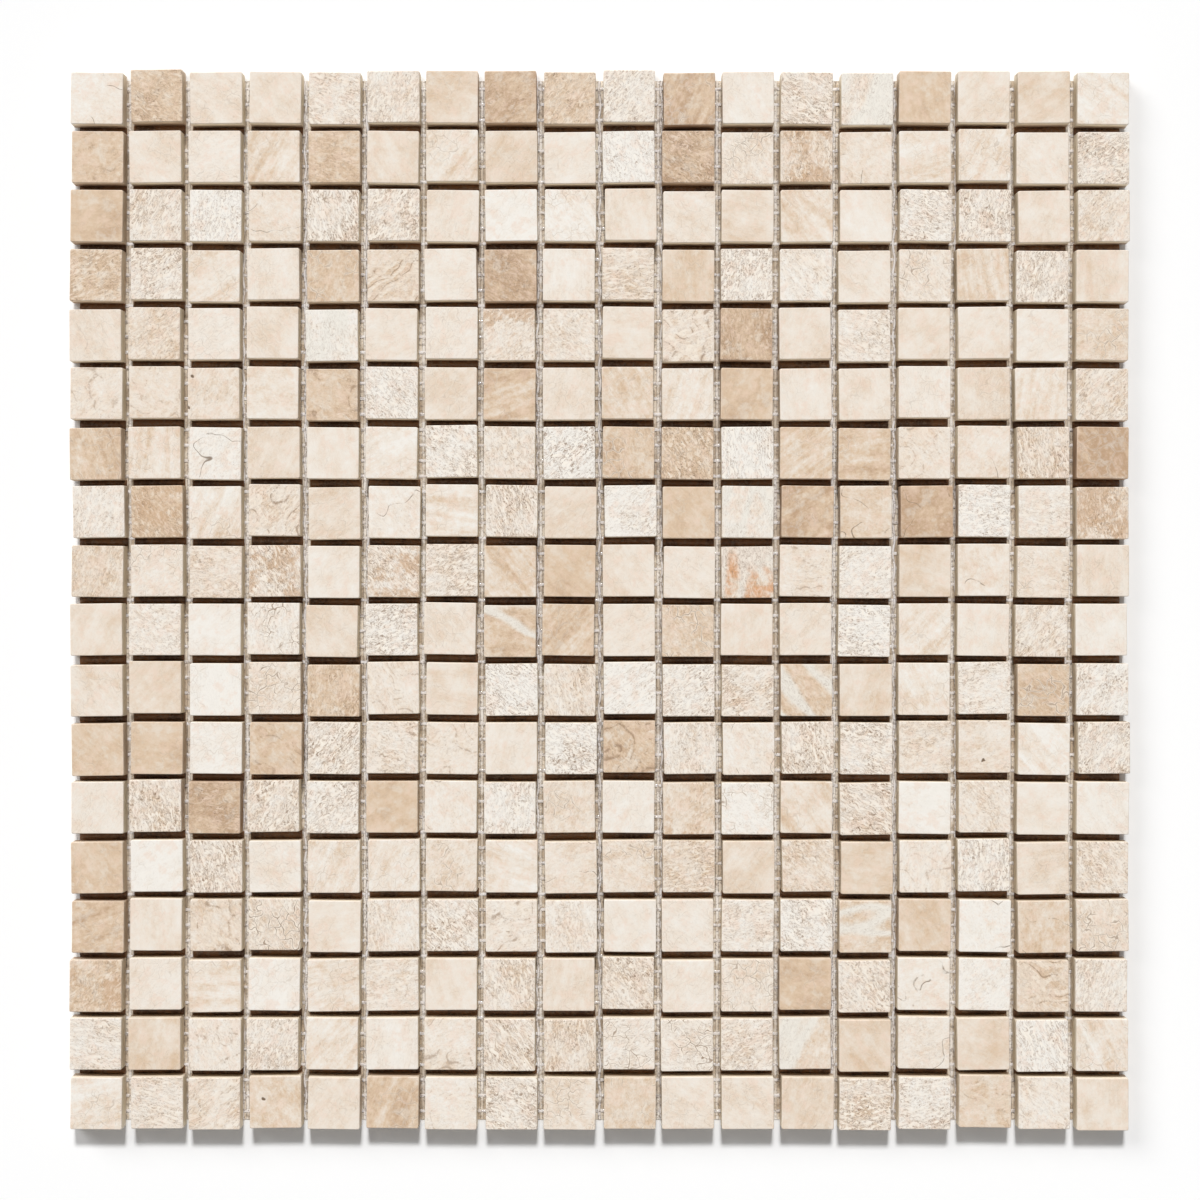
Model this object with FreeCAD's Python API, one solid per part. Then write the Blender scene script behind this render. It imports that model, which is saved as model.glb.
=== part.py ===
import FreeCAD, Part

import math
import os
import random

# Marble mosaic sheet, in millimetres.
# Square tiles lie face up in rows and columns on a glass-fibre net that is glued to their sawn backs.
# The origin is the middle of the sheet, on the level that the net rests on. +Z is the tiles' face,
# and +Y is the top of the sheet, where row 1 is. Column 1 is at the left, at -X.

# Setting out
TILES_PER_SIDE = 18
TILE_SIDE = 15.0
TILE_THICKNESS = 7.0
JOINT = 2.05

# Easing of a tile: the face's edges all round, and the corners, whose wear runs out at the sawn back
FACE_EASE = 0.45
CORNER_EASE = 0.6

# Spread of sawing and of setting by hand: the most that a tile differs from its nominal size and place,
# and the most that a whole row slips along X, or a whole column along Y
SIDE_SPREAD = 0.12
THICKNESS_SPREAD = 0.08
SHIFT_SPREAD = 0.3
TURN_SPREAD = 0.8  # degrees
SLIP_SPREAD = 0.35
SETTING_SEED = 1518

# Backing net: yarns along Y on the underside, and yarns along X bonded between them and the tiles
NET_PITCH = 4.5
YARN_WIDTH = 0.9
YARN_THICKNESS = 0.25
NET_INSET = 1.5

# Sizes that follow from those above
TILE_PITCH = TILE_SIDE + JOINT
SHEET_SIDE = TILES_PER_SIDE * TILE_SIDE + (TILES_PER_SIDE - 1) * JOINT
NET_SIDE = SHEET_SIDE - 2 * NET_INSET
NET_THICKNESS = 2 * YARN_THICKNESS

UP = FreeCAD.Vector(0, 0, 1)


def centred_places(count, pitch):
    """Places of evenly spaced things about the middle of the sheet, lowest first."""
    return [(index - (count - 1) / 2) * pitch for index in range(count)]


def eased_rectangle(length, width, corner_cut, height):
    """The corners of a level rectangle, in order, each cut off by corner_cut, or whole where that is 0."""
    half_x = length / 2
    half_y = width / 2
    points = []
    for turn in range(4):
        sign_x = 1 if turn in (0, 3) else -1
        sign_y = 1 if turn in (0, 1) else -1
        on_side = FreeCAD.Vector(sign_x * half_x, sign_y * (half_y - corner_cut), height)
        on_end = FreeCAD.Vector(sign_x * (half_x - corner_cut), sign_y * half_y, height)
        points += [on_side, on_end] if sign_x == sign_y else [on_end, on_side]
    return points


def flat_face(points):
    """One flat face through the points, with points that repeat left out."""
    outline = []
    for point in points:
        if all(point.distanceToPoint(kept) > Part.Precision.confusion() for kept in outline):
            outline.append(point)
    return Part.Face(Part.makePolygon(outline + outline[:1]))


def stone_tile(length, width, thickness):
    """A sawn tile with eased face edges and worn corners. Its back is at zero height."""
    back = eased_rectangle(length, width, 0, 0)
    rim = eased_rectangle(length, width, CORNER_EASE, thickness - FACE_EASE)
    face = eased_rectangle(length - 2 * FACE_EASE, width - 2 * FACE_EASE, CORNER_EASE, thickness)
    faces = [flat_face(back), flat_face(face)]
    for lower, upper in ((back, rim), (rim, face)):
        for here in range(len(lower)):
            after = (here + 1) % len(lower)
            faces.append(flat_face([lower[here], lower[after], upper[after], upper[here]]))
    return Part.Solid(Part.Shell(faces))


def tile_row(row_y, column_slips, spread):
    """One row of tiles, from left to right, each with its own small errors of sawing and setting."""
    row_slip = spread.uniform(-SLIP_SPREAD, SLIP_SPREAD)
    tiles = []
    for column_x, column_slip in zip(centred_places(TILES_PER_SIDE, TILE_PITCH), column_slips):
        tile = stone_tile(
            TILE_SIDE + spread.uniform(-SIDE_SPREAD, SIDE_SPREAD),
            TILE_SIDE + spread.uniform(-SIDE_SPREAD, SIDE_SPREAD),
            TILE_THICKNESS + spread.uniform(-THICKNESS_SPREAD, THICKNESS_SPREAD),
        )
        tile.rotate(FreeCAD.Vector(), UP, spread.uniform(-TURN_SPREAD, TURN_SPREAD))
        tile_x = column_x + row_slip + spread.uniform(-SHIFT_SPREAD, SHIFT_SPREAD)
        tile_y = row_y + column_slip + spread.uniform(-SHIFT_SPREAD, SHIFT_SPREAD)
        tile.translate(FreeCAD.Vector(tile_x, tile_y, NET_THICKNESS))
        tiles.append(tile)
    return Part.makeCompound(tiles)


def yarn_places():
    """Places of the yarns across the net, as many as fit inside its cut edges."""
    count = 1 + math.floor((NET_SIDE - YARN_WIDTH) / NET_PITCH)
    return centred_places(count, NET_PITCH)


def lengthways_yarns():
    """The net's lower yarns, which run along Y and which the sheet rests on."""
    yarns = []
    for place in yarn_places():
        corner = FreeCAD.Vector(place - YARN_WIDTH / 2, -NET_SIDE / 2, 0)
        yarns.append(Part.makeBox(YARN_WIDTH, NET_SIDE, YARN_THICKNESS, corner))
    return Part.makeCompound(yarns)


def crossways_yarns():
    """The net's upper yarns, which run along X and which the tiles' backs are glued to."""
    yarns = []
    for place in yarn_places():
        corner = FreeCAD.Vector(-NET_SIDE / 2, place - YARN_WIDTH / 2, YARN_THICKNESS)
        yarns.append(Part.makeBox(NET_SIDE, YARN_WIDTH, YARN_THICKNESS, corner))
    return Part.makeCompound(yarns)


def mosaic_sheet():
    """Every piece of the sheet by name. Rows are numbered from the top of the sheet."""
    spread = random.Random(SETTING_SEED)
    column_slips = [spread.uniform(-SLIP_SPREAD, SLIP_SPREAD) for _ in range(TILES_PER_SIDE)]
    pieces = {}
    for number, row_y in enumerate(reversed(centred_places(TILES_PER_SIDE, TILE_PITCH)), start=1):
        pieces[f"tile_row_{number:02d}"] = tile_row(row_y, column_slips, spread)
    pieces["net_lengthways_yarns"] = lengthways_yarns()
    pieces["net_crossways_yarns"] = crossways_yarns()
    return pieces


os.makedirs("parts", exist_ok=True)
for name, shape in mosaic_sheet().items():
    shape.exportStep(f"parts/{name}.step")
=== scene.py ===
"""Dresses a packed marble mosaic sheet: polished stone tiles, the woven net behind them, and its glue."""

import math
import random

import bmesh
import bpy
from mathutils import Matrix, Vector


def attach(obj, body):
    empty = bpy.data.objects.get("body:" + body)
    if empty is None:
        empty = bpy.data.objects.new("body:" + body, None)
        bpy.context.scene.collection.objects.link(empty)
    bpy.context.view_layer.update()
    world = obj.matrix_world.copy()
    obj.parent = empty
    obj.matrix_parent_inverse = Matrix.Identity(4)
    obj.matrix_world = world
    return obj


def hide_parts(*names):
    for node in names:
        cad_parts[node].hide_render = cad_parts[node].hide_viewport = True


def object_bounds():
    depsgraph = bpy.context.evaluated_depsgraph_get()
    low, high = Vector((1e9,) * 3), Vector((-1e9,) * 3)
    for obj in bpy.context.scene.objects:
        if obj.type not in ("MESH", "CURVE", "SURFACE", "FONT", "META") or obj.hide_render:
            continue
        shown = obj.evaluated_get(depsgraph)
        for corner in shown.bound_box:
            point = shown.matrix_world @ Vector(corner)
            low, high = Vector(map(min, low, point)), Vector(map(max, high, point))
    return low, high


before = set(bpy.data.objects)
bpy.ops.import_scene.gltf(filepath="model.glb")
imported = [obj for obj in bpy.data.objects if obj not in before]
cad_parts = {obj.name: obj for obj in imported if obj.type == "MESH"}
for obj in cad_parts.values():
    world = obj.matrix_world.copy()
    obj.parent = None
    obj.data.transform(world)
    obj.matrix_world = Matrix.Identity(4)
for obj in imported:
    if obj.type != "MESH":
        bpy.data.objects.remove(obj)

bl_info = {
    "name": "Marble Mosaic Sheet",
    "version": (1, 0, 0),
    "blender": (4, 5, 0),
    "location": "3D View > Sidebar > Mosaic",
    "description": "Lays stone tiles on a leno-woven net and lights the sheet from its top edge",
    "category": "Object",
}

MM = 0.001
CAD_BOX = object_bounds()
TILE_ROWS = sorted(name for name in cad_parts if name.startswith("tile_row_"))
TILES_PER_ROW = 18
LENGTHWAYS_YARNS = "net_lengthways_yarns"
CROSSWAYS_YARNS = "net_crossways_yarns"

# How many corners each CAD solid has
TILE_CORNERS = 20
YARN_CORNERS = 8

# Corners that are nearer to each other than this are one corner, and the net clears the floor by as much
HAIR = 0.01 * MM

# How strongly each finish of the stone shows its markings, from 0 to about 1
FINISHES = {
    "smooth": {"mottle": 0.45, "bands": 0.4, "grain": 0.2, "crackle": 0.25},
    "banded": {"bands": 1.1, "grain": 0.25, "crackle": 0.4},
    "grainy": {"grain": 1.1, "bands": 0.4},
    "brushed": {"grain": 1.15, "combed": 0.6, "bands": 0.5},
    "crackled": {"crackle": 1.0, "grain": 0.6},
    "swirled": {"swirls": 1.0, "grain": 0.5, "bands": 0.3},
    "veined": {"veins": 0.85, "grain": 0.3, "bands": 0.2},
    "pitted": {"pits": 1.0, "grain": 0.3, "bands": 0.3},
    "blotched": {"blotches": 0.8, "grain": 0.9},
    "milky": {"milk": 0.9, "bands": 0.5, "grain": 0.5},
    "rusty": {"rust": 1.0, "milk": 0.8, "grain": 0.7, "bands": 0.5},
}

# How mottled the stone of a finish is that doesn't say
USUAL_MOTTLE = 0.9

# The markings that are laid over the body of the stone, the lowest first
MARKINGS = ("rust", "blotches", "milk", "grain", "crackle", "swirls", "veins", "pits")

# The tones of the stone, from 0, white, to 1, dark tan
TONES = {"white": 0.04, "pale": 0.2, "cream": 0.33, "straw": 0.52, "honey": 0.68, "tan": 0.9}

# How often each common stone turns up
COMMON_STONES = {
    ("smooth", "cream"): 28,
    ("smooth", "pale"): 6,
    ("banded", "cream"): 12,
    ("grainy", "cream"): 20,
    ("grainy", "pale"): 12,
    ("crackled", "cream"): 10,
    ("swirled", "cream"): 6,
    ("veined", "cream"): 6,
    ("brushed", "cream"): 6,
}

# Tiles that stand out, by row and column from the top left of the sheet
STANDOUT_TILES = {
    ("smooth", "white"): ((3, 8), (11, 3), (12, 3), (13, 15), (14, 2), (16, 4)),
    ("smooth", "pale"): ((2, 3), (4, 7), (5, 17), (13, 1), (13, 17), (14, 4), (16, 2), (16, 11)),
    ("smooth", "cream"): (
        (1, 4), (4, 4), (4, 14), (5, 1), (5, 4), (5, 6), (5, 13), (6, 14), (7, 5), (8, 9), (9, 10), (10, 10)
    ),
    ("smooth", "straw"): (
        (1, 7), (1, 17), (4, 11), (9, 15), (11, 2), (11, 14), (14, 12), (14, 14), (15, 15), (17, 2), (17, 14)
    ),
    ("smooth", "honey"): (
        (1, 15), (3, 1), (6, 12), (8, 11), (9, 9), (12, 1), (12, 2), (13, 6), (14, 1), (16, 13)
    ),
    ("grainy", "white"): ((2, 10), (3, 3), (7, 9), (8, 10), (8, 16), (10, 14), (11, 8), (15, 13)),
    ("grainy", "pale"): ((7, 7), (9, 14), (11, 16), (12, 11), (14, 16), (15, 7), (16, 18)),
    ("grainy", "cream"): ((1, 5), (1, 6), (1, 13), (5, 9), (7, 8), (9, 7), (12, 15), (14, 13)),
    ("grainy", "honey"): ((1, 2), (1, 9), (2, 5), (4, 1), (7, 11), (11, 5)),
    ("grainy", "tan"): ((1, 8), (2, 11), (4, 8), (5, 12), (13, 3)),
    ("brushed", "white"): ((7, 12), (11, 10), (17, 17)),
    ("brushed", "cream"): ((3, 2), (3, 5), (4, 10), (8, 8), (13, 14), (16, 14)),
    ("crackled", "white"): ((13, 12),),
    ("crackled", "straw"): ((5, 18), (10, 11), (18, 10)),
    ("crackled", "honey"): ((4, 5), (7, 10), (11, 17)),
    ("swirled", "straw"): ((4, 6), (16, 17), (18, 16)),
    ("swirled", "honey"): ((2, 1), (6, 5), (12, 4), (12, 10)),
    ("veined", "white"): ((7, 3), (15, 16)),
    ("veined", "pale"): ((1, 1), (8, 6), (12, 12), (16, 15)),
    ("veined", "straw"): ((8, 14), (15, 17)),
    ("veined", "tan"): ((8, 15),),
    ("pitted", "white"): ((16, 16),),
    ("pitted", "cream"): ((6, 3), (6, 4), (12, 16)),
    ("pitted", "straw"): ((18, 4),),
    ("blotched", "cream"): ((5, 8), (9, 4), (9, 6)),
    ("blotched", "straw"): ((2, 13), (8, 18), (13, 11), (16, 1)),
    ("blotched", "honey"): ((8, 2),),
    ("banded", "straw"): ((4, 16), (7, 13), (9, 8)),
    ("banded", "honey"): ((6, 8), (7, 1), (7, 14), (10, 9), (15, 1), (18, 6)),
    ("banded", "tan"): ((1, 11), (7, 18), (8, 13)),
    ("milky", "pale"): ((1, 14), (5, 5), (8, 12)),
    ("milky", "straw"): ((15, 14), (17, 13)),
    ("milky", "honey"): ((10, 8), (11, 13)),
    ("rusty", "straw"): ((9, 12),),
}


def srgb(red, green, blue):
    """A colour from its three 8-bit screen values, as Blender's linear colour."""
    channels = []
    for level in (red, green, blue):
        share = level / 255
        channels.append(share / 12.92 if share <= 0.04045 else ((share + 0.055) / 1.055) ** 2.4)
    return (*channels, 1.0)


def colour_setting(name, description, red, green, blue):
    """A colour for the panel, by default the one with these 8-bit screen values."""
    return bpy.props.FloatVectorProperty(
        name=name, description=description, default=srgb(red, green, blue), size=4, subtype="COLOR"
    )


def number_setting(name, description, default, **kind):
    """A number for the panel, with the unit or the subtype that fits it."""
    return bpy.props.FloatProperty(name=name, description=description, default=default, **kind)


def length_setting(name, description, millimetres):
    """A length for the panel, with its default in millimetres."""
    return number_setting(name, description, millimetres * MM, unit="LENGTH")


def angle_setting(name, description, degrees):
    """An angle for the panel, with its default in degrees."""
    return number_setting(name, description, math.radians(degrees), subtype="ANGLE")


class MosaicTiles(bpy.types.PropertyGroup):
    """The stone tiles."""

    side: length_setting("Side", "Nominal side of a tile", 15)
    thickness: length_setting("Thickness", "Nominal thickness of a tile", 7)
    edge_ease: length_setting("Edge ease", "Radius of the face's edges", 0.2)
    corner_radius: length_setting("Corner radius", "Radius of the worn corners", 0.4)
    sawn_radius: length_setting("Sawn radius", "Radius of the corners of a tile's back", 0.08)
    edge_wear: length_setting("Edge wear", "How far tumbling wore back an edge", 0.12)
    wear_length: length_setting("Wear length", "Length of the waves in a worn edge", 5)
    seed: bpy.props.IntProperty(name="Seed", description="Deals the stones over the sheet", default=7)
    white: colour_setting("White", "Palest stone", 243, 238, 230)
    cream: colour_setting("Cream", "Usual stone", 236, 223, 208)
    honey: colour_setting("Honey", "Warm stone", 218, 192, 163)
    tan: colour_setting("Tan", "Darkest stone", 190, 158, 127)
    blush: colour_setting("Blush", "Rosy clouds", 236, 210, 190)
    milk: colour_setting("Milk", "Calcite bands", 236, 231, 221)
    blotch: colour_setting("Blotch", "Brown nodules", 204, 170, 136)
    rust: colour_setting("Rust", "Iron stains", 216, 162, 118)
    fleck_and_edge_highlight: colour_setting("Fleck", "Pale flecks and edges", 250, 242, 229)
    # This colour is also painted along the tiles' eased edges as a highlight
    stroke: colour_setting("Stroke", "Brown grain", 144, 116, 91)
    vein: colour_setting("Vein", "Dark veins and pits", 116, 94, 72)
    # Painted light and shade: sawn is painted pale so that the walls in the joints read lit, and rim darker
    # for the sides around the sheet
    sawn: colour_setting("Sawn", "Raw stone in the joints, pale with dust", 254, 244, 226)
    rim: colour_setting("Rim", "Raw stone around the sheet, free of dust", 208, 191, 171)
    # Glue and dust, and painted shade: the walls between rows darken to this at their feet
    stain_and_shade: colour_setting("Stain", "Glue and dust at a tile's foot", 150, 104, 60)


class MosaicNet(bpy.types.PropertyGroup):
    """The backing net and its glue."""

    pitch: length_setting("Pitch", "From one yarn to the next", 4.5)
    strand_width: length_setting("Strand width", "Width of one of a pair's strands", 0.72)
    weft_width: length_setting("Weft width", "Width of a crossways yarn", 1.05)
    ply: length_setting("Ply", "Thickness of a strand", 0.16)
    sway: length_setting("Sway", "How far a strand swings to each side", 0.28)
    film_width: length_setting("Film width", "Width of the glue along a joint", 4.2)
    film_thickness: length_setting("Film thickness", "Thickness of the glue along a joint", 0.07)
    ridge_width: length_setting("Ridge width", "Width of the glue's ridge in a joint", 1)
    ridge_thickness: length_setting("Ridge thickness", "Thickness of the glue's ridge", 0.14)
    bead_height: length_setting("Bead height", "Height of the glue between rows", 1.3)
    yarn: colour_setting("Yarn", "Coated glass fibre", 246, 243, 243)
    yarn_shade: colour_setting("Yarn shade", "Dusty glass fibre", 204, 190, 176)
    soil: colour_setting("Soil", "Dust on the yarns and the glue", 134, 116, 98)
    # Painted shade and light: in a column joint the film shows at the sides, painted darker as the shade near
    # the walls, and the ridge paler in the middle, as lit
    film: colour_setting("Film", "Thin glue", 238, 227, 211)
    film_shade: colour_setting("Film shade", "Thin glue where it pooled", 202, 183, 160)
    ridge: colour_setting("Ridge", "The ridge's glue, full of air", 250, 245, 239)
    ridge_shade: colour_setting("Ridge shade", "Dusty stretches of it", 216, 202, 184)
    # Partly painted shade: the beads' dark brown stands for the shade deep in the joints between rows as well
    # as for thick glue
    bead: colour_setting("Bead", "Thick glue", 132, 92, 57)
    bead_shade: colour_setting("Bead shade", "Thickest glue", 88, 58, 34)


class MosaicStage(bpy.types.PropertyGroup):
    """The floor, the lamps and the camera."""

    camera_height: length_setting("Camera height", "Above the tiles' faces", 812)
    focal_length: number_setting("Focal length", "On a 36 mm sensor", 84.55, unit="CAMERA")
    key_height: angle_setting("Key height", "Above the horizon", 50)
    key_heading: angle_setting("Key heading", "From the top edge to the left", 0)
    key_strength: number_setting("Key strength", "Of the main light", 2.25)
    key_softness: angle_setting("Key softness", "Width of the key light", 9)
    fill_height: angle_setting("Fill height", "Above the horizon", 35)
    fill_heading: angle_setting("Fill heading", "From the top edge to the left", 45)
    fill_strength: number_setting("Fill strength", "Of the second light", 1.0)
    fill_softness: angle_setting("Fill softness", "Width of the fill light", 30)
    sky_strength: number_setting("Sky strength", "Of the light from all round", 0.27)
    floor_level: number_setting("Floor level", "How much light the white paper throws back", 0.99)


def operator(operation):
    """The method of an operator between a value and another, as a Math node."""
    return lambda self, other: self.graph.math(operation, self, other)


def reflected(operation):
    """The method of an operator between a number and a value, as a Math node."""
    return lambda self, other: self.graph.math(operation, other, self)


class Value:
    """One output of a node. Arithmetic on it adds Math nodes to its tree."""

    def __init__(self, graph, socket):
        self.graph = graph
        self.socket = socket

    def other(self, name):
        """Another output of the same node."""
        return Value(self.graph, self.socket.node.outputs[name])

    def __abs__(self):
        return self.graph.math("ABSOLUTE", self)

    __add__ = __radd__ = operator("ADD")
    __sub__ = operator("SUBTRACT")
    __rsub__ = reflected("SUBTRACT")
    __mul__ = __rmul__ = operator("MULTIPLY")
    __truediv__ = operator("DIVIDE")
    __rtruediv__ = reflected("DIVIDE")
    __gt__ = operator("GREATER_THAN")


class Graph:
    """Adds nodes to the tree of a material, of the world or of a Geometry Nodes modifier."""

    def __init__(self, tree):
        self.tree = tree

    def node(self, kind, inputs=None, output=0, stops=(), **settings):
        """A node with its settings or a ramp's stops made first, then its sockets set or linked. Gives one of
        its outputs, if it has any."""
        node = self.tree.nodes.new(kind)
        for name, setting in settings.items():
            setattr(node, name, setting)
        if stops:
            elements = node.color_ramp.elements
            while len(elements) < len(stops):
                elements.new(1.0)
            for element, (position, colour) in zip(elements, stops):
                element.position = position
                element.color = colour
        for name, value in (inputs or {}).items():
            if isinstance(value, Value):
                self.tree.links.new(value.socket, node.inputs[name])
            else:
                node.inputs[name].default_value = value
        return Value(self, node.outputs[output]) if node.outputs else None

    def math(self, operation, *values):
        """A Math node on one or more values."""
        return self.node("ShaderNodeMath", dict(enumerate(values)), operation=operation)

    def vector(self, operation, *values):
        """A Vector Math node on one or more vectors."""
        return self.node("ShaderNodeVectorMath", dict(enumerate(values)), operation=operation)

    def xyz(self, x=0.0, y=0.0, z=0.0):
        """A vector from its three parts."""
        return self.node("ShaderNodeCombineXYZ", {"X": x, "Y": y, "Z": z})

    def parts(self, vector):
        """The X part of a vector, whose other outputs are its Y and Z."""
        return self.node("ShaderNodeSeparateXYZ", {"Vector": vector})

    def ramp(self, share, *stops):
        """A colour that runs through those of the stops. Each stop is a share and a colour."""
        return self.node("ShaderNodeValToRGB", {"Fac": share}, stops=stops)

    def blend(self, share, under, over):
        """One colour laid over another by a share."""
        return self.node(
            "ShaderNodeMix", {0: share, 6: under, 7: over}, output=2, data_type="RGBA", clamp_factor=True
        )

    def soft_step(self, value, low, high):
        """Rises smoothly from 0 at low to 1 at high."""
        return self.node(
            "ShaderNodeMapRange",
            {"Value": value, "From Min": low, "From Max": high},
            interpolation_type="SMOOTHSTEP",
        )

    def soft_fall(self, value, low, high):
        """Falls smoothly from 1 at low to 0 at high."""
        return 1 - self.soft_step(value, low, high)

    def noise(self, place, scale, detail=2.0, roughness=0.5):
        """Soft noise about 0.5, with scale waves to a unit of place."""
        return self.node(
            "ShaderNodeTexNoise",
            {"Vector": place, "Scale": scale, "Detail": detail, "Roughness": roughness},
        )

    def cells(self, place, scale, feature="F1"):
        """How far a place is from the nearest of points strewn on a plane, or from the rims between them."""
        return self.node(
            "ShaderNodeTexVoronoi",
            {"Vector": place, "Scale": scale},
            output="Distance",
            feature=feature,
            voronoi_dimensions="2D",
        )

    def number(self, name):
        """In a material, a number that the mesh holds for each tile or face."""
        return self.node("ShaderNodeAttribute", output="Fac", attribute_name=name)

    def on_sheet(self):
        """In a material, a place on the sheet in metres."""
        return self.node("ShaderNodeTexCoord", output="Object")

    def facing(self):
        """In a material, the X part of the way that a face points, whose other outputs are its Y and Z."""
        return self.parts(self.node("ShaderNodeNewGeometry", output="Normal"))

    def attribute(self, name, kind="FLOAT"):
        """In a modifier, a number or vector that the geometry holds by name."""
        return self.node("GeometryNodeInputNamedAttribute", {"Name": name}, data_type=kind)


def empty_tree(owner):
    """The node tree of a material or world, with nothing in it."""
    owner.use_nodes = True
    owner.node_tree.nodes.clear()
    return owner.node_tree


def new_material(name):
    """An empty material and the graph of its nodes."""
    material = bpy.data.materials.new(name)
    return material, Graph(empty_tree(material))


def finish_surface(graph, colour, roughness, relief, strength, depth, **others):
    """Ends a material in a Principled shader, with its relief as a bump of a strength and a depth."""
    bump = graph.node("ShaderNodeBump", {"Height": relief, "Strength": strength, "Distance": depth})
    inputs = {"Base Color": colour, "Roughness": roughness, "Normal": bump, **others}
    graph.node("ShaderNodeOutputMaterial", {"Surface": graph.node("ShaderNodeBsdfPrincipled", inputs)})


def place_in_block(graph):
    """Where a point of a tile lay in the block that it was cut from, in millimetres, along the bedding."""
    corner = graph.node("ShaderNodeAttribute", output="Vector", attribute_name="block_place")
    millimetres = graph.vector("MULTIPLY_ADD", graph.on_sheet(), (1 / MM,) * 3, corner)
    return graph.node(
        "ShaderNodeVectorRotate",
        {"Vector": millimetres, "Angle": graph.number("heading")},
        rotation_type="Z_AXIS",
    )


class Marble(Graph):
    """The colour and the relief of one finish of polished marble. Its markings are laid one over the other.
    Scales of noise are in waves to a millimetre, and each tile has its own tone, boldness and place."""

    def __init__(self, tree, shows, tiles):
        super().__init__(tree)
        self.tiles = tiles
        self.combed = shows.get("combed", 0.0)
        self.place = place_in_block(self)
        self.tone = self.number("tone")
        self.boldness = self.number("boldness")
        self.clouds = self.noise(self.place, 0.13, 2.0)
        self.mottling = self.noise(self.place, 0.5, 3.0, 0.8)
        along_bed = self.vector("MULTIPLY", self.place, (0.05, 0.36, 0.2))
        self.bedding = self.noise(along_bed, 1.0, 3.0, 0.6)
        self.relief = 0.0
        self.colour = self.body(shows.get("mottle", USUAL_MOTTLE), shows.get("bands", 0.0))
        tint = self.noise(self.place, 0.22, 3.0, 0.7)
        self.lay(self.soft_step(tint, 0.5, 0.66) * 0.4, tiles.blush)
        self.lay(self.soft_fall(tint, 0.34, 0.48) * 0.3, tiles.milk)

    def body(self, mottle, bands):
        """The tile's tone, uneven with clouds, mottling and beds, as a colour."""
        tone = self.tone + (self.clouds - 0.5) * 0.6 + (self.mottling - 0.5) * mottle
        tone = tone + (self.bedding - 0.5) * bands
        tiles = self.tiles
        return self.ramp(tone, (0.0, tiles.white), (0.33, tiles.cream), (0.67, tiles.honey), (1.0, tiles.tan))

    def lay(self, share, colour):
        """Lays a colour over the stone by a share."""
        self.colour = self.blend(share, self.colour, colour)

    def bent(self, scale, reach):
        """The place moved about by soft noise, so that straight patterns wander."""
        wander = self.node(
            "ShaderNodeTexNoise", {"Vector": self.place, "Scale": scale, "Detail": 0.0}, output="Color"
        )
        return self.vector("MULTIPLY_ADD", wander, (reach,) * 3, self.place)

    def rust(self, strength):
        """Iron has stained the stone in patches."""
        edge = self.noise(self.bent(0.5, 2.0), 0.13, 4.0, 0.65)
        stained = self.soft_step(edge, 0.38, 0.54) * (self.mottling + 0.4)
        self.lay(stained * strength, self.tiles.rust)

    def blotches(self, strength):
        """A brown nodule lies at the side of some tiles."""
        edge = self.noise(self.bent(0.5, 2.0), 0.06, 3.0, 0.6) + (self.mottling - 0.5) * 0.25
        nodule = self.soft_step(edge, 0.49, 0.6)
        self.lay(nodule * (self.mottling + 0.35) * strength, self.tiles.blotch)

    def milk(self, strength):
        """Calcite runs through the tile in a wide soft band."""
        field = self.noise(self.vector("MULTIPLY", self.place, (0.025, 0.08, 0.05)), 1.0, 1.0)
        from_band = abs(field - 0.5) + (self.mottling - 0.5) * 0.03
        self.lay(self.soft_fall(from_band, 0.015, 0.08) * strength, self.tiles.milk)

    def grain(self, strength):
        """Fine wrinkles and pale flecks lie roughly along the bedding, thicker in some places, with a few
        dark grains. Combing draws them out."""
        stretch = (0.5 - self.combed * 0.3, 1.3, 0.9)
        grains = self.noise(self.vector("MULTIPLY", self.bent(0.4, 1.6), stretch), 1.0, 3.0, 0.65)
        patches = self.soft_step(self.clouds + (self.bedding - 0.5) * 0.4, 0.36, 0.6)
        shown = self.boldness * strength * (patches * 0.5 + 0.5)
        flecks = self.soft_step(grains, 0.53, 0.64) * shown
        self.lay(flecks * (0.9 - self.tone * 0.7), self.tiles.fleck_and_edge_highlight)
        wrinkles = self.soft_fall(abs(grains - 0.46), 0.004, 0.04) * shown
        self.lay(wrinkles * 0.6, self.tiles.stroke)
        specks = self.soft_step(self.noise(self.place, 1.1, 1.0), 0.64, 0.7) * shown
        self.lay(specks * 0.6, self.tiles.stroke)
        self.relief = self.relief - wrinkles * 0.6 - specks * 0.6 + flecks * 0.1

    def crackle(self, strength):
        """Hairlines between pale lips come and go along the rims of crushed grains."""
        rim = self.cells(self.bent(0.4, 3.0), 0.3, "DISTANCE_TO_EDGE")
        shown = self.soft_step(self.clouds, 0.44, 0.56) * self.boldness * strength
        self.lay(self.soft_fall(rim, 0.04, 0.13) * shown * 0.5, self.tiles.fleck_and_edge_highlight)
        hairlines = self.soft_fall(rim, 0.006, 0.05) * shown
        self.lay(hairlines * 0.75, self.tiles.stroke)
        self.relief = self.relief - hairlines * 0.5

    def swirls(self, strength):
        """Brown curves run side by side, each with a pale lip."""
        field = self.noise(self.bent(0.25, 3.0), 0.05, 1.0) * 11
        curve = self.math("FRACT", field)
        broken = self.clouds + (self.mottling - 0.5) * 1.2 + (self.bedding - 0.5) * 0.6
        shown = self.soft_step(broken, 0.42, 0.66) * self.boldness * strength
        self.lay(self.soft_step(curve, 0.55, 0.8) * shown * 0.4, self.tiles.fleck_and_edge_highlight)
        curves = self.soft_fall(abs(curve - 0.5), 0.01, 0.09) * shown
        self.lay(curves * 0.6, self.tiles.stroke)
        self.relief = self.relief - curves * 0.4

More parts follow.
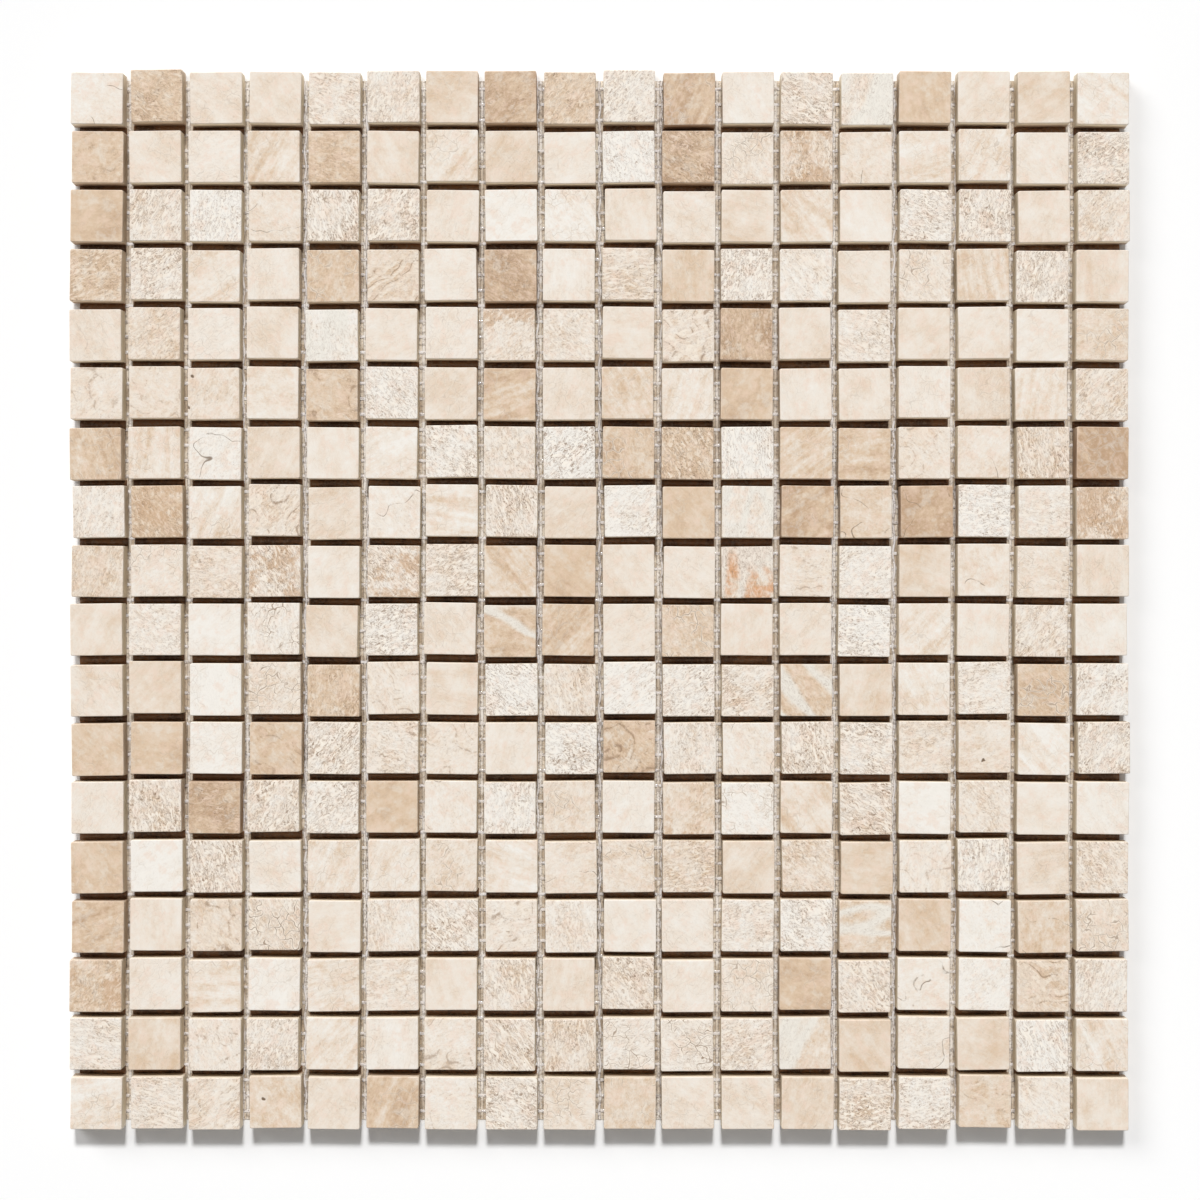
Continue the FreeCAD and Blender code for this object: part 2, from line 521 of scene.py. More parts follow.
    def veins(self, strength):
        """One or two longer veins cross the tile."""
        field = abs(self.noise(self.bent(0.3, 2.0), 0.06, 1.5) - 0.5)
        shown = self.soft_step(self.clouds + (self.mottling - 0.5) * 0.4, 0.44, 0.6)
        veins = self.soft_fall(field, 0.0004, 0.0045) * shown
        self.lay(veins * strength, self.tiles.vein)
        self.relief = self.relief - veins * 0.5

    def pits(self, strength):
        """Here and there a grain has broken out and left a dark pit."""
        pits = self.soft_fall(self.cells(self.bent(0.9, 1.0), 0.09), 0.03, 0.06)
        self.lay(pits * strength, self.tiles.vein)
        self.relief = self.relief - pits * 3.0


def polished_marble(name, shows, tiles):
    """Polished cream marble with the markings of one finish, duller at its eased edges and painted a little
    paler there, partly as a painted highlight.
    """
    material = bpy.data.materials.new(f"{name}_marble")
    stone = Marble(empty_tree(material), shows, tiles)
    for marking in MARKINGS:
        if marking in shows:
            getattr(stone, marking)(shows[marking])
    eased = 1 - stone.number("surface")
    # Painted highlight: the eased edges are painted a little paler, partly for their duller polish
    stone.lay(eased * 0.25, tiles.fleck_and_edge_highlight)
    roughness = 0.34 + stone.bedding * 0.1 + eased * 0.3
    finish_surface(stone, stone.colour, roughness, stone.relief, strength=0.6, depth=0.08 * MM)
    return material


def sawn_marble(tiles):
    """The raw sides and backs of the tiles, with the saw's fine lines. They are pale with stone dust and
    painted paler still, as painted light in the joints, while the sides around the sheet are painted a darker
    tone, as painted shade. The walls between rows darken towards their feet with glue from the rows and with
    painted shade."""
    material, graph = new_material("sawn_marble")
    clouds = graph.noise(place_in_block(graph), 0.13, 2.0)
    on_sheet = graph.on_sheet()
    parts = graph.parts(on_sheet)
    facing = graph.facing()

    # The lines run level around the sides, and along X on the backs
    on_back = abs(facing.other("Z"))
    grooves = graph.xyz(400.0, on_back * 2600 + 400, 3500.0)
    lines = graph.noise(graph.vector("MULTIPLY", on_sheet, grooves), 1.0, 2.0, 0.6)
    tone = graph.number("tone") + (clouds - 0.5) * 0.5
    # Painted light: the sawn colour is paler than raw stone, so that the walls deep in the joints read lit
    colour = graph.ramp(tone, (0.4, tiles.sawn), (1.0, tiles.tan))
    beside_rim = abs(parts.other("X")) > CAD_BOX[1].x - tiles.side / 2
    above_rim = abs(parts.other("Y")) > CAD_BOX[1].y - tiles.side / 2
    outside = beside_rim * abs(facing) + above_rim * abs(facing.other("Y"))
    # Painted shade: the sides around the sheet are painted a darker tone than the walls in the joints
    colour = graph.blend(outside * 0.75, colour, tiles.rim)
    # Glue marks and painted shade: the walls between rows, facing up or down, darken towards their feet
    stained = graph.soft_fall(parts.other("Z") / MM + clouds * 3, 3.0, 7.5)
    colour = graph.blend(stained * abs(facing.other("Y")) * (1 - above_rim) * 0.65, colour, tiles.stain_and_shade)
    colour = graph.blend(graph.soft_step(lines, 0.45, 0.65) * 0.12, colour, tiles.stroke)
    finish_surface(graph, colour, roughness=0.8, relief=lines, strength=0.4, depth=0.1 * MM)
    return material


def coated_glass_yarn(net):
    """Glass filaments under a thin clear size, with fine ridges and patches of dust."""
    material, graph = new_material("coated_glass_yarn")
    place = graph.vector("MULTIPLY", graph.on_sheet(), (1 / MM,) * 3)
    filaments = graph.noise(place, 7.0, 3.0, 0.7)
    soiling = graph.noise(place, 0.18, 3.0)
    specks = graph.noise(place, 0.9, 2.0, 0.7)
    colour = graph.blend(graph.soft_step(soiling, 0.35, 0.75) * 0.6, net.yarn, net.yarn_shade)
    colour = graph.blend(graph.soft_step(specks, 0.5, 0.62) * 0.6, colour, net.soil)
    roughness = 0.42 + filaments * 0.2
    finish_surface(graph, colour, roughness, filaments, strength=0.5, depth=0.05 * MM, **{"Coat Weight": 0.2})
    return material


def cured_glue(name, thin, thick, net):
    """Milky resin with bubbles and stone dust in it, darker where it lies thick, and pale underneath."""
    material, graph = new_material(name)
    place = graph.vector("MULTIPLY", graph.on_sheet(), (1 / MM,) * 3)
    dust = graph.noise(place, 0.9, 4.0, 0.6)
    patches = graph.noise(place, 0.11, 2.0)
    specks = graph.noise(place, 1.1, 3.0, 0.7)
    bubbles = graph.cells(place, 1.7)
    colour = graph.blend(graph.soft_step(patches + (dust - 0.5) * 0.5, 0.4, 0.62), thin, thick)
    colour = graph.blend(graph.soft_step(specks, 0.5, 0.62) * 0.55, colour, net.soil)
    underneath = graph.facing().other("Z") * -1 > 0.5
    colour = graph.blend(underneath * (0.9 - dust * 0.6), colour, net.ridge)
    relief = graph.soft_step(bubbles, 0.1, 0.35) * 0.5 + dust
    finish_surface(graph, colour, 0.35 + dust * 0.3, relief, strength=0.5, depth=0.1 * MM)
    return material


def studio_floor(stage):
    """Plain white paper, with a fine tooth."""
    material, graph = new_material("studio_floor")
    tooth = graph.noise(graph.on_sheet(), 900.0)
    bump = graph.node("ShaderNodeBump", {"Height": tooth, "Strength": 0.1, "Distance": 0.1 * MM})
    grey = (*(stage.floor_level,) * 3, 1.0)
    paper = graph.node("ShaderNodeBsdfDiffuse", {"Color": grey, "Normal": bump})
    graph.node("ShaderNodeOutputMaterial", {"Surface": paper})
    return material


def new_tree(name, inputs):
    """A Geometry Nodes tree with its inputs by name: its graph and the inputs' values."""
    tree = bpy.data.node_groups.new(name, "GeometryNodeTree")
    tree.interface.new_socket("Geometry", in_out="INPUT", socket_type="NodeSocketGeometry")
    for label, kind in inputs.items():
        tree.interface.new_socket(label, in_out="INPUT", socket_type=f"NodeSocket{kind}")
    tree.interface.new_socket("Geometry", in_out="OUTPUT", socket_type="NodeSocketGeometry")
    graph = Graph(tree)
    entry = graph.node("NodeGroupInput")
    return graph, {label: entry.other(label) for label in ("Geometry", *inputs)}


def finish_tree(graph, geometry):
    """Links the result to the tree's output."""
    graph.node("NodeGroupOutput", {"Geometry": geometry})
    return graph.tree


def set_on_points(graph, points, blank):
    """Sets a copy of a blank on every point, with the turn and the stretch that the point holds."""
    shape = graph.node("GeometryNodeObjectInfo", {"Object": blank}, output="Geometry")
    copies = graph.node(
        "GeometryNodeInstanceOnPoints",
        {
            "Points": points,
            "Instance": shape,
            "Rotation": graph.xyz(z=graph.attribute("turn")),
            "Scale": graph.attribute("stretch", "FLOAT_VECTOR"),
        },
    )
    return graph.node("GeometryNodeRealizeInstances", {"Geometry": copies})


def set_material(graph, geometry, material, selection=True):
    """Gives a material to the selected faces."""
    inputs = {"Geometry": geometry, "Selection": selection, "Material": material}
    return graph.node("GeometryNodeSetMaterial", inputs)


def link_object(name, data):
    """A mesh, lamp or camera as an object at the origin."""
    item = bpy.data.objects.new(name, data)
    bpy.context.scene.collection.objects.link(item)
    return item


def made_by_nodes(name, places, tree, inputs):
    """The plain mesh that a tree makes from points, as an object of its own."""
    source = link_object(f"{name}_places", places)
    modifier = source.modifiers.new("Nodes", "NODES")
    modifier.node_group = tree
    for item in tree.interface.items_tree:
        if item.item_type == "SOCKET" and item.in_out == "INPUT" and item.name in inputs:
            modifier[item.identifier] = inputs[item.name]
    depsgraph = bpy.context.evaluated_depsgraph_get()
    mesh = bpy.data.meshes.new_from_object(
        source.evaluated_get(depsgraph), preserve_all_data_layers=True, depsgraph=depsgraph
    )
    bpy.data.objects.remove(source)
    mesh.name = name
    return link_object(name, mesh)


def add_numbers(mesh, domain, name, values):
    """Lets a mesh hold a number or a vector for each of its points or faces."""
    if isinstance(values[0], tuple):
        attribute = mesh.attributes.new(name, "FLOAT_VECTOR", domain)
        attribute.data.foreach_set("vector", [part for value in values for part in value])
    else:
        mesh.attributes.new(name, "FLOAT", domain).data.foreach_set("value", values)


def points_mesh(name, points, numbers=None):
    """A mesh of bare points, with numbers or vectors for each point by name."""
    mesh = bpy.data.meshes.new(name)
    mesh.from_pydata(points, [], [])
    for label, values in (numbers or {}).items():
        add_numbers(mesh, "POINT", label, values)
    return mesh


def mesh_of_rings(name, rings):
    """A closed mesh whose skin runs from each ring of points to the next, with a flat cap at each end."""
    count = len(rings[0])
    numbers = [list(range(level * count, (level + 1) * count)) for level in range(len(rings))]
    faces = [list(reversed(numbers[0]))]
    for low, high in zip(numbers, numbers[1:]):
        for here in range(count):
            after = (here + 1) % count
            faces.append([low[here], low[after], high[after], high[here]])
    faces.append(numbers[-1])
    mesh = bpy.data.meshes.new(name)
    mesh.from_pydata(sum(rings, []), [], faces)
    return mesh


def dress(piece, slot, *nodes):
    """Hangs a finished piece on the sheet's only body, in place of its CAD nodes."""
    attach(piece, "root")
    if nodes:
        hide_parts(*nodes)


def corner_groups(node, per_solid, axis):
    """The corners of each CAD solid of a node, solid by solid along an axis on which they don't overlap."""
    merged = bmesh.new()
    merged.from_mesh(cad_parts[node].data)
    bmesh.ops.remove_doubles(merged, verts=merged.verts, dist=HAIR)
    corners = sorted((vertex.co.copy() for vertex in merged.verts), key=lambda corner: corner[axis])
    merged.free()
    if len(corners) % per_solid:
        raise RuntimeError(f"{node} has {len(corners)} corners, which isn't {per_solid} for each solid")
    return [corners[start : start + per_solid] for start in range(0, len(corners), per_solid)]


def cad_tiles(node):
    """Where each tile of a CAD row lies: the middle of its back, its turn, and its size."""
    tiles = []
    for corners in corner_groups(node, TILE_CORNERS, axis=0):
        back = sorted(corners, key=lambda corner: corner.z)[:4]
        middle = sum(back, Vector()) / 4
        back.sort(key=lambda corner: math.atan2(corner.y - middle.y, corner.x - middle.x))
        along = back[1] - back[0]
        width = (back[2] - back[1]).length
        height = max(corner.z for corner in corners) - middle.z
        tiles.append((middle, math.atan2(along.y, along.x), Vector((along.length, width, height))))
    if len(tiles) != TILES_PER_ROW:
        raise RuntimeError(f"{node} has {len(tiles)} tiles and not {TILES_PER_ROW}")
    return tiles


def cad_yarns(node, axis):
    """The start of each yarn of a CAD layer, in the middle of its end, and the yarns' length."""
    starts = []
    length = 0.0
    for corners in corner_groups(node, YARN_CORNERS, axis):
        low = Vector(map(min, zip(*corners)))
        high = Vector(map(max, zip(*corners)))
        start = low.copy()
        start[axis] = (low[axis] + high[axis]) / 2
        starts.append(start)
        length = (high - low)[1 - axis]
    return starts, length


# Steps in the arc of a tile's corner, and points between its corners
CORNER_STEPS = 2
SIDE_STEPS = 2

# What a face of a tile is, as its material reads it
RAW = 0.0
EASED = 0.5
POLISHED = 1.0

# How far wear goes at each ring of a tile's points, from its back up to its face
RING_WEARS = (0.0, 0.5, 1.0, 0.7)


def rounded_square(half, radius, height):
    """A level ring of points anticlockwise: the arc of each corner, then the points on the side after it."""
    points = []
    for quarter in range(4):
        turn = Matrix.Rotation(quarter * math.pi / 2, 3, "Z")
        straight = half - radius
        for step in range(CORNER_STEPS + 1):
            angle = step / CORNER_STEPS * math.pi / 2
            arc = Vector((math.cos(angle), math.sin(angle), 0)) * radius
            points.append(turn @ (Vector((straight, straight, height)) + arc))
        for step in range(1, SIDE_STEPS + 1):
            along = straight * (1 - 2 * step / (SIDE_STEPS + 1))
            points.append(turn @ Vector((along, half, height)))
    return points


def tile_blank(tiles):
    """A tile of nominal size, its sawn back at zero height, with quarter-round edges to its face."""
    half = tiles.side / 2
    radius = tiles.corner_radius
    ease = tiles.edge_ease
    # The middle of a quarter round is in from each of its ends by this much
    halfway = ease * 0.29
    rings = [
        rounded_square(half, tiles.sawn_radius, 0.0),
        rounded_square(half, radius, tiles.thickness - ease),
        rounded_square(half - halfway, radius, tiles.thickness - halfway),
        rounded_square(half - ease, radius, tiles.thickness),
    ]
    count = len(rings[0])
    mesh = mesh_of_rings("tile_blank", rings)
    surfaces = [RAW] * (1 + count) + [EASED] * 2 * count + [POLISHED]
    add_numbers(mesh, "FACE", "surface", surfaces)
    add_numbers(mesh, "POINT", "wears", [wear for wear in RING_WEARS for _ in range(count)])
    for polygon, surface in zip(mesh.polygons, surfaces):
        polygon.use_smooth = surface == EASED
    return link_object("tile_blank", mesh)


def stone_label(finish):
    """The name of the tree's input for the stone of a finish."""
    return f"{finish.title()} Stone"


def tile_tree():
    """Sets a tile on every point, with its own turn and size, wears its edges, and gives it its stone."""
    stones = {stone_label(finish): "Material" for finish in FINISHES}
    graph, given = new_tree(
        "set_tiles",
        {"Tile": "Object", "Edge Wear": "Float", "Wear Length": "Float", "Sawn Stone": "Material", **stones},
    )
    solid = set_on_points(graph, given["Geometry"], given["Tile"])

    place = graph.node("GeometryNodeInputPosition")
    inward = graph.vector("SUBTRACT", graph.attribute("middle", "FLOAT_VECTOR"), place)
    inward = graph.vector("NORMALIZE", graph.vector("MULTIPLY", inward, (1.0, 1.0, 0.0)))
    waves = graph.noise(place, 1 / given["Wear Length"])
    chips = graph.soft_step(graph.noise(place, 2 / given["Wear Length"], 1.0), 0.6, 0.75)
    depth = (waves + chips) * graph.attribute("wears") * given["Edge Wear"]
    offset = graph.node("ShaderNodeVectorMath", {0: inward, "Scale": depth}, operation="SCALE")
    cut = graph.node("GeometryNodeSetPosition", {"Geometry": solid, "Offset": offset})

    for number, label in enumerate(stones):
        this_stone = graph.math("COMPARE", graph.attribute("finish"), number, 0.5)
        cut = set_material(graph, cut, given[label], this_stone)
    raw = graph.math("LESS_THAN", graph.attribute("surface"), EASED / 2)
    return finish_tree(graph, set_material(graph, cut, given["Sawn Stone"], raw))


# How far the tone of a stone strays from its name's: of a tile that stands out, and of a common one
STANDOUT_SPREAD = 0.03
COMMON_SPREAD = 0.07

# How far the block that the tiles are cut from reaches to each side of its middle, in millimetres
BLOCK_REACH = 900


def choose_stones(seed):
    """A stone for every tile by row and column: the tiles that stand out, and the common stones by chance."""
    dice = random.Random(seed)
    standouts = {place: stone for stone, places in STANDOUT_TILES.items() for place in places}
    chosen = {}
    for row in range(1, len(TILE_ROWS) + 1):
        for column in range(1, TILES_PER_ROW + 1):
            common = dice.choices(list(COMMON_STONES), list(COMMON_STONES.values()))[0]
            finish, tone = standouts.get((row, column), common)
            spread = STANDOUT_SPREAD if (row, column) in standouts else COMMON_SPREAD
            chosen[row, column] = {
                "finish": float(list(FINISHES).index(finish)),
                "tone": TONES[tone] + dice.gauss(0, spread),
                "boldness": dice.uniform(0.55, 1.2),
                "heading": dice.uniform(-math.pi, math.pi),
                "block_place": tuple(dice.uniform(-BLOCK_REACH, BLOCK_REACH) for _ in range(3)),
            }
    return chosen


class MOSAIC_OT_lay_tiles(bpy.types.Operator):
    """Lay the 18 rows of stone tiles where the CAD tiles are"""

    bl_idname = "mosaic.lay_tiles"
    bl_label = "Lay Tiles"

    def execute(self, context):
        tiles = context.scene.mosaic_tiles
        blank = tile_blank(tiles)
        nominal = (tiles.side, tiles.side, tiles.thickness)
        tree = tile_tree()
        inputs = {
            "Tile": blank,
            "Edge Wear": tiles.edge_wear,
            "Wear Length": tiles.wear_length,
            "Sawn Stone": sawn_marble(tiles),
        }
        for finish, shows in FINISHES.items():
            inputs[stone_label(finish)] = polished_marble(finish, shows, tiles)
        chosen = choose_stones(tiles.seed)
        for row, node in enumerate(TILE_ROWS, start=1):
            placed = cad_tiles(node)
            stones = [chosen[row, column] for column in range(1, TILES_PER_ROW + 1)]
            middles = [tuple(middle) for middle, _, _ in placed]
            numbers = {
                "middle": middles,
                "turn": [turn for _, turn, _ in placed],
                "stretch": [tuple(a / b for a, b in zip(size, nominal)) for _, _, size in placed],
                **{name: [stone[name] for stone in stones] for name in stones[0]},
            }
            places = points_mesh(node, middles, numbers)
            dress(made_by_nodes(f"marble_row_{row:02d}", places, tree, inputs), "marble", node)
        bpy.data.objects.remove(blank)
        return {"FINISHED"}


# Waves to a metre: of a strand's wandering, and of its swelling
WANDER_WAVES = 28.0
SWELLING_WAVES = 180.0

# Corners of the flat ring that a strand's section is
SECTION_CORNERS = 6


def yarn_tree():
    """Runs a flat strand along +Y from every point. It sways and rises as a leno-woven strand does: the two
    of a pair cross between the crossways yarns, and lie twice as far apart in height where they pass one."""
    sizes = ("Length", "Pitch", "Sway", "Rise", "Width", "Thickness", "Wander", "Unevenness", "Turn")
    graph, given = new_tree(
        "run_strands", {**dict.fromkeys(sizes, "Float"), "Steps": "Int", "Finish": "Material"}
    )
    line = graph.node("GeometryNodeCurvePrimitiveLine", {"End": graph.xyz(y=given["Length"])})
    line = graph.node("GeometryNodeResampleCurve", {"Curve": line, "Count": given["Steps"]})
    lines = graph.node("GeometryNodeInstanceOnPoints", {"Points": given["Geometry"], "Instance": line})
    lines = graph.node("GeometryNodeRealizeInstances", {"Geometry": lines})

    place = graph.node("GeometryNodeInputPosition")
    phase = graph.parts(place).other("Y") / given["Pitch"] * math.pi
    side = graph.math("COSINE", phase) * given["Sway"]
    wander = (graph.noise(place, WANDER_WAVES, 1.0) - 0.5) * given["Wander"]
    opening = graph.math("COSINE", phase * 2) * 0.5 + 0.5
    lift = given["Rise"] + opening * given["Rise"]
    swayed = graph.node(
        "GeometryNodeSetPosition", {"Geometry": lines, "Offset": graph.xyz(side + wander, 0.0, lift)}
    )
    swollen = 1 + (graph.noise(place, SWELLING_WAVES, 2.0) - 0.5) * given["Unevenness"]
    swayed = graph.node("GeometryNodeSetCurveRadius", {"Curve": swayed, "Radius": swollen})
    upright = graph.node("GeometryNodeSetCurveNormal", {"Curve": swayed}, mode="Z_UP")

    ring = graph.node("GeometryNodeCurvePrimitiveCircle", {"Resolution": SECTION_CORNERS, "Radius": 0.5})
    section = graph.xyz(given["Width"], given["Thickness"], 1.0)
    ring = graph.node("GeometryNodeTransform", {"Geometry": ring, "Scale": section})
    strands = graph.node(
        "GeometryNodeCurveToMesh", {"Curve": upright, "Profile Curve": ring, "Fill Caps": True}
    )
    turn = graph.xyz(z=given["Turn"])
    strands = graph.node("GeometryNodeTransform", {"Geometry": strands, "Rotation": turn})
    return finish_tree(graph, set_material(graph, strands, given["Finish"]))


def run_strands(name, starts, tree, *nodes, sway=0.0, rise=0.0, turn=0.0, **others):
    """Runs the strands of one piece, in place of CAD nodes. The others are more inputs of the tree."""
    inputs = {label.title(): value for label, value in others.items()}
    inputs.update({"Sway": sway, "Rise": rise, "Turn": turn})
    dress(made_by_nodes(name, points_mesh(name, starts), tree, inputs), "net", *nodes)


class MOSAIC_OT_weave_net(bpy.types.Operator):
    """Weave the net's lengthways pairs of strands around its crossways yarns"""

    bl_idname = "mosaic.weave_net"
    bl_label = "Weave Net"

    def execute(self, context):
        net = context.scene.mosaic_net
        tree = yarn_tree()
        starts, length = cad_yarns(LENGTHWAYS_YARNS, axis=0)
        crossings = round(length / net.pitch)
        middle = 1.5 * net.ply + HAIR
        common = {
            "pitch": net.pitch,
            "thickness": net.ply,
            "wander": 0.2 * MM,
            "unevenness": 0.3,
            "finish": coated_glass_yarn(net),
        }
        for name, side in (("net_ground_strands", -1), ("net_twist_strands", 1)):
            run_strands(
                name,
                [(start.x, start.y, middle) for start in starts],
                tree,
                LENGTHWAYS_YARNS,
                length=length,
                steps=crossings * 3 + 1,
                sway=side * net.sway,
                rise=side * net.ply * 0.5,
                width=net.strand_width,
                **common,
            )

        # The tree runs strands along Y, so the crossways yarns start as lengthways ones and turn
        starts, length = cad_yarns(CROSSWAYS_YARNS, axis=1)
        run_strands(
            "net_weft_yarns",
            [(start.y, start.x, middle) for start in starts],
            tree,
            CROSSWAYS_YARNS,
            length=length,
            steps=crossings + 1,
            turn=-math.pi / 2,
            width=net.weft_width,
            **common,
        )
        return {"FINISHED"}


FILM_STEPS = 201

# A bead of glue across a joint and above the floor, in shares of the joint's width and of the bead's height:
# it runs in a little under the tiles, and it is highest in the middle
BEAD_SECTION = (
    (-0.62, 0.06), (0.62, 0.06), (0.6, 0.5), (0.45, 0.7), (0.15, 1.0), (-0.15, 1.0), (-0.45, 0.7), (-0.6, 0.5)
)

# Where the sections of a bead stand along its tile, in shares of the tile's side, and how high its ends are
BEAD_STATIONS = (-0.5, -0.47, -0.3, -0.1, 0.1, 0.3, 0.47, 0.5)
BEAD_END = 0.5

# Waves to a metre in the height of a bead
BEAD_WAVES = 260.0


def bead_blank(net, side):
    """A closed bead of glue between two tiles, one tile long and of nominal width."""
    rings = []
    for station in BEAD_STATIONS:
        height = net.bead_height * (BEAD_END if abs(station) == 0.5 else 1.0)
        rings.append([Vector((station * side, across, up * height)) for across, up in BEAD_SECTION])
    mesh = mesh_of_rings("bead_blank", rings)
    for polygon in mesh.polygons:
        polygon.use_smooth = True
    return link_object("bead_blank", mesh)


def bead_tree():
    """Sets a bead on every point, as wide as the joint there, makes it swell and sink along its length, and
    keeps it from reaching past the net."""
    graph, given = new_tree(
        "run_beads",
        {"Bead": "Object", "Unevenness": "Float", "Net Half": "Float", "Finish": "Material"},
    )
    beads = set_on_points(graph, given["Geometry"], given["Bead"])
    place = graph.node("GeometryNodeInputPosition")
    waves = graph.noise(place, BEAD_WAVES, 2.0) - 0.5
    sunk = graph.vector("MULTIPLY", place, graph.xyz(1.0, 1.0, 1 + waves * given["Unevenness"]))
    beads = graph.node("GeometryNodeSetPosition", {"Geometry": beads, "Position": sunk})
    high = graph.xyz(given["Net Half"], 1.0, 1.0)
    low = graph.xyz(given["Net Half"] * -1.0, -1.0, -1.0)
    kept = graph.vector("MINIMUM", graph.vector("MAXIMUM", place, low), high)
    beads = graph.node("GeometryNodeSetPosition", {"Geometry": beads, "Position": kept})
    return finish_tree(graph, set_material(graph, beads, given["Finish"]))


def lay_films(net, rows, length):
    """Films of thin glue along the joints between columns, each with a ridge in its middle. The film is
    painted darker than the ridge, as painted shade near the walls, and the ridge paler along the middle, as
    painted light.
    """
    columns = [sum(middle.x for middle, _, _ in column) / len(column) for column in zip(*rows)]
    joints = [(left + right) / 2 for left, right in zip(columns, columns[1:])]
    # Painted shade at a joint's sides, and painted light along its middle
    film = cured_glue("thin_glue", net.film, net.film_shade, net)
    ridge = cured_glue("ridge_glue", net.ridge, net.ridge_shade, net)
    tree = yarn_tree()
    for name, width, thickness, finish in (
        ("glue_films", net.film_width, net.film_thickness, film),
        ("glue_ridges", net.ridge_width, net.ridge_thickness, ridge),
    ):
        run_strands(
            name,
            [(joint, -length / 2, net.ply + thickness / 2) for joint in joints],
            tree,
            length=length,
            steps=FILM_STEPS,
            pitch=net.pitch,
            width=width,
            thickness=thickness,
            wander=0.3 * MM,
            unevenness=1.4,
            finish=finish,
        )


def run_beads(net, side, rows, length):
    """Beads of thick glue in the joints between rows, one between each tile and the tile below it. Their dark
    brown is partly painted shade deep in those joints.
    """
    points = []
    turns = []
    stretches = []
    for upper_row, lower_row in zip(rows, rows[1:]):
        for (above, turn_above, size_above), (below, turn_below, size_below) in zip(upper_row, lower_row):
            low = below.y + size_below.y / 2
            high = above.y - size_above.y / 2
            points.append(((above.x + below.x) / 2, (low + high) / 2, 0.0))
            turns.append((turn_above + turn_below) / 2)
            stretches.append((1.0, high - low, 1.0))
    blank = bead_blank(net, side)
    # The beads' dark brown is partly painted shade in the joints between rows
    inputs = {
        "Bead": blank,
        "Unevenness": 0.8,
        "Net Half": length / 2,
        "Finish": cured_glue("thick_glue", net.bead, net.bead_shade, net),
    }
    places = points_mesh("beads", points, {"turn": turns, "stretch": stretches})
    dress(made_by_nodes("glue_beads", places, bead_tree(), inputs), "net")
    bpy.data.objects.remove(blank)


class MOSAIC_OT_spread_glue(bpy.types.Operator):
    """Spread the thin glue along the columns, and run beads of thick glue between the rows"""

    bl_idname = "mosaic.spread_glue"
    bl_label = "Spread Glue"

    def execute(self, context):
        net = context.scene.mosaic_net
        rows = [cad_tiles(node) for node in TILE_ROWS]
        _, length = cad_yarns(LENGTHWAYS_YARNS, axis=0)
        lay_films(net, rows, length)
        run_beads(net, context.scene.mosaic_tiles.side, rows, length)
        return {"FINISHED"}


WHITE = (1.0, 1.0, 1.0, 1.0)
FLOOR_REACH = 9.0
SENSOR_WIDTH = 36.0

# Where the camera stands from the middle of the sheet
CAMERA_X = 0.1 * MM
CAMERA_Y = 0.05 * MM


def add_floor(stage):
    """A square of paper under the sheet, far wider than the picture."""
    reach = FLOOR_REACH
    mesh = bpy.data.meshes.new("floor")
    mesh.from_pydata(
        [(-reach, -reach, 0), (reach, -reach, 0), (reach, reach, 0), (-reach, reach, 0)], [], [(0, 1, 2, 3)]
    )
    mesh.materials.append(studio_floor(stage))
    link_object("floor", mesh)


def add_sun(name, strength, softness, height, heading):
    """A soft light from far away. Its heading is how far round it stands from the top edge to the left."""
    sun = bpy.data.lights.new(name, "SUN")
    sun.energy = strength
    sun.angle = softness
    link_object(name, sun).rotation_euler = (height - math.pi / 2, 0.0, heading)


def add_sky(strength):
    """An even light from all round. It is plain white where it is seen, also in a mirror or through glass."""
    world = bpy.data.worlds.new("sky")
    graph = Graph(empty_tree(world))
    rays = graph.node("ShaderNodeLightPath", output="Is Camera Ray")
    bounced = graph.math("MAXIMUM", rays.other("Is Glossy Ray"), rays.other("Is Transmission Ray"))
    level = graph.math("MAXIMUM", rays, bounced) * (1 - strength) + strength
    sky = graph.node("ShaderNodeBackground", {"Color": WHITE, "Strength": level})
    graph.node("ShaderNodeOutputWorld", {"Surface": sky})
    bpy.context.scene.world = world


def add_camera(stage):
    """A camera that looks straight down on the sheet, with its top edge up."""
    camera = bpy.data.cameras.new("camera")
    camera.lens = stage.focal_length
    camera.sensor_width = SENSOR_WIDTH
    eye = link_object("camera", camera)
    eye.location = (CAMERA_X, CAMERA_Y, CAD_BOX[1].z + stage.camera_height)
    bpy.context.scene.camera = eye


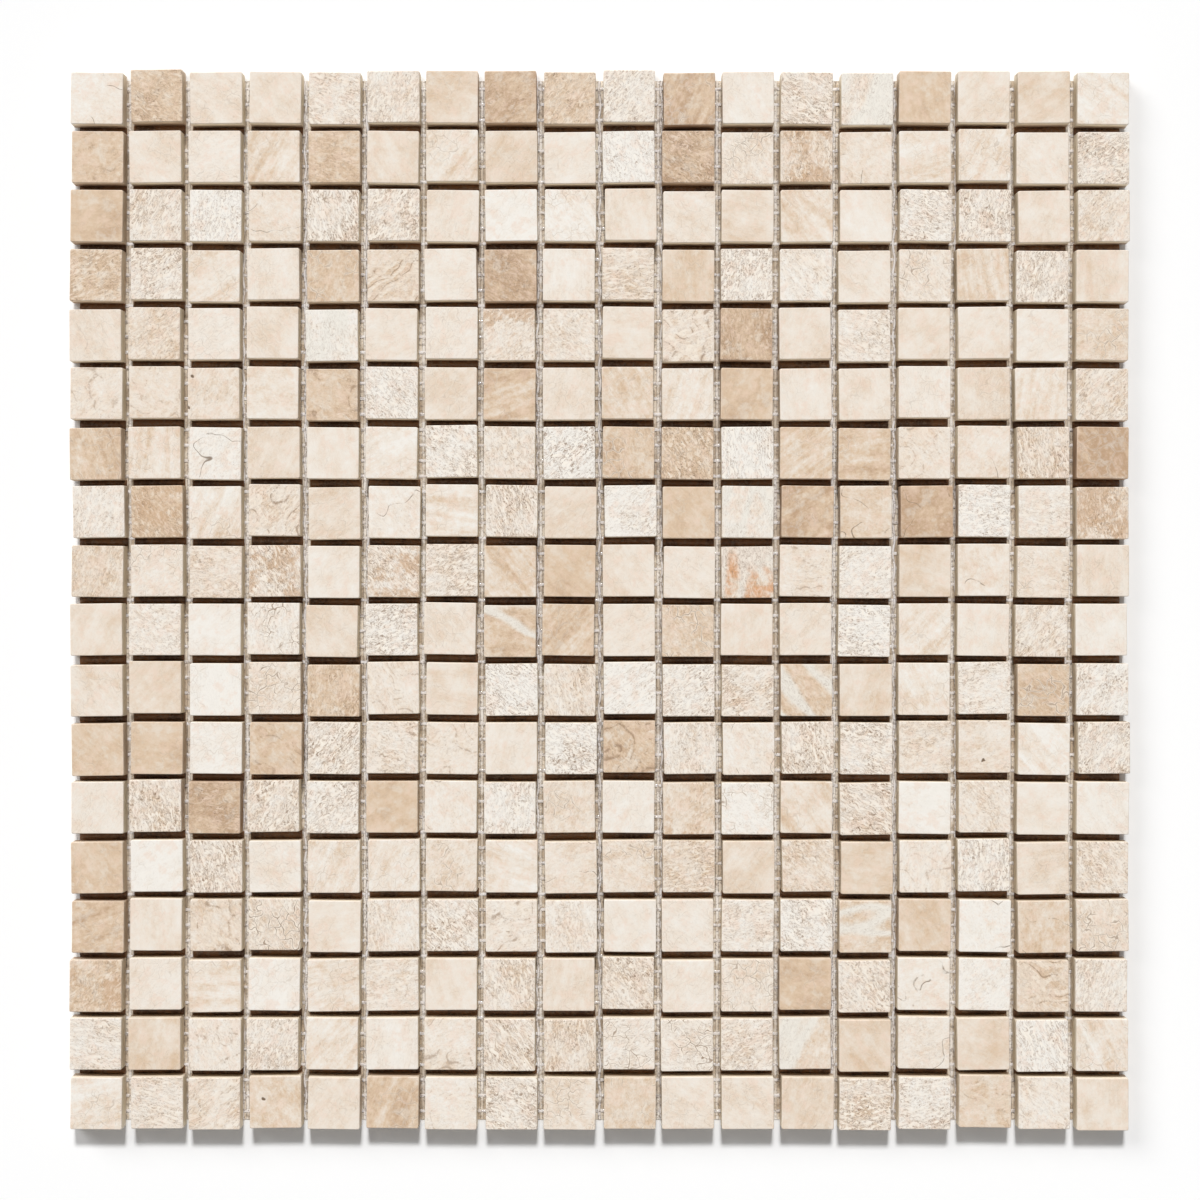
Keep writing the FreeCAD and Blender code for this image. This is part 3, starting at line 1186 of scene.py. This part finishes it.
class MOSAIC_OT_set_stage(bpy.types.Operator):
    """Set the floor, the lamps and the camera"""

    bl_idname = "mosaic.set_stage"
    bl_label = "Set Stage"

    def execute(self, context):
        stage = context.scene.mosaic_stage
        add_floor(stage)
        add_sun("key", stage.key_strength, stage.key_softness, stage.key_height, stage.key_heading)
        add_sun("fill", stage.fill_strength, stage.fill_softness, stage.fill_height, stage.fill_heading)
        add_sky(stage.sky_strength)
        add_camera(stage)
        context.scene.view_settings.view_transform = "Standard"
        return {"FINISHED"}


PANEL_ORDER = (
    ("mosaic_tiles", ("mosaic.lay_tiles",)),
    ("mosaic_net", ("mosaic.weave_net", "mosaic.spread_glue")),
    ("mosaic_stage", ("mosaic.set_stage",)),
)


class MOSAIC_PT_sheet(bpy.types.Panel):
    """Sizes, colours and steps of the mosaic sheet"""

    bl_label = "Mosaic Sheet"
    bl_idname = "MOSAIC_PT_sheet"
    bl_space_type = "VIEW_3D"
    bl_region_type = "UI"
    bl_category = "Mosaic"

    def draw(self, context):
        for group, steps in PANEL_ORDER:
            box = self.layout.box()
            settings = getattr(context.scene, group)
            for name in settings.__annotations__:
                box.prop(settings, name)
            for step in steps:
                box.operator(step)


SETTINGS = {"mosaic_tiles": MosaicTiles, "mosaic_net": MosaicNet, "mosaic_stage": MosaicStage}
CLASSES = (
    *SETTINGS.values(),
    MOSAIC_OT_lay_tiles,
    MOSAIC_OT_weave_net,
    MOSAIC_OT_spread_glue,
    MOSAIC_OT_set_stage,
    MOSAIC_PT_sheet,
)


def register():
    for cls in CLASSES:
        bpy.utils.register_class(cls)
    for name, group in SETTINGS.items():
        setattr(bpy.types.Scene, name, bpy.props.PointerProperty(type=group))


def unregister():
    for name in SETTINGS:
        delattr(bpy.types.Scene, name)
    for cls in reversed(CLASSES):
        bpy.utils.unregister_class(cls)


def main():
    """Make the whole scene in order."""
    register()
    bpy.ops.mosaic.lay_tiles()
    bpy.ops.mosaic.weave_net()
    bpy.ops.mosaic.spread_glue()
    bpy.ops.mosaic.set_stage()


if __name__ == "__main__":
    main()
